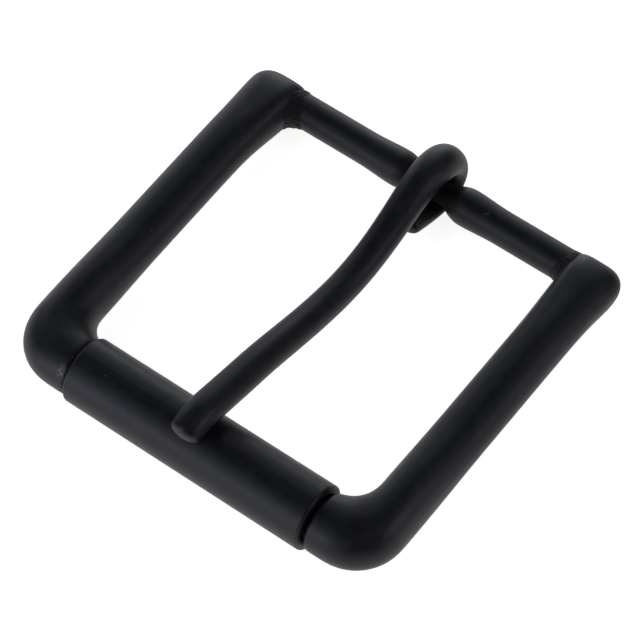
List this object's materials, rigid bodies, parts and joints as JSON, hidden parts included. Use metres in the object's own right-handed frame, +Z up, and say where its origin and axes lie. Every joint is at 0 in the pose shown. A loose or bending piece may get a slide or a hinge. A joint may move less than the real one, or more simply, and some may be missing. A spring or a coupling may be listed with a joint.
{
  "type": "belt buckle",
  "caption": "Black roller belt buckle: welded wire frame with a free-turning roller on its front bar and a hooked tongue that swings on the heel bar.",
  "frame": {"origin": "under the middle of the buckle, on the surface that it lies on", "axes": "+Z up from that surface, +Y from the roller to the heel bar, +X along the bars to the right rail"},
  "size_m": [0.0532, 0.053, 0.0121],
  "materials": {
    "frame_black": "matte black coating on steel, slightly soft sheen",
    "weld_black": "grainy weld metal under the matte black coating",
    "roller_black": "matte black coating on rolled sheet, a little smoother from turning",
    "tongue_black": "matte black coating on bent bar, with small nicks"
  },
  "bodies": {
    "frame_body": {"frame": "frame_black", "heel_bar": "frame_black", "weld_bead_left": "weld_black", "weld_bead_right": "weld_black"},
    "roller_body": {"roller": "roller_black"},
    "tongue_body": {"tongue": "tongue_black"}
  },
  "joints": [
    {"name": "roller_spin", "type": "hinge", "parent": "frame_body", "child": "roller_body", "pos_m": [0, -0.02237, 0.00416], "axis": [1, 0, 0], "continuous": true},
    {"name": "tongue_swing", "type": "hinge", "parent": "frame_body", "child": "tongue_body", "pos_m": [0, 0.02153, 0.0028], "axis": [-1, 0, 0], "range_deg": [0, 343]}
  ]
}
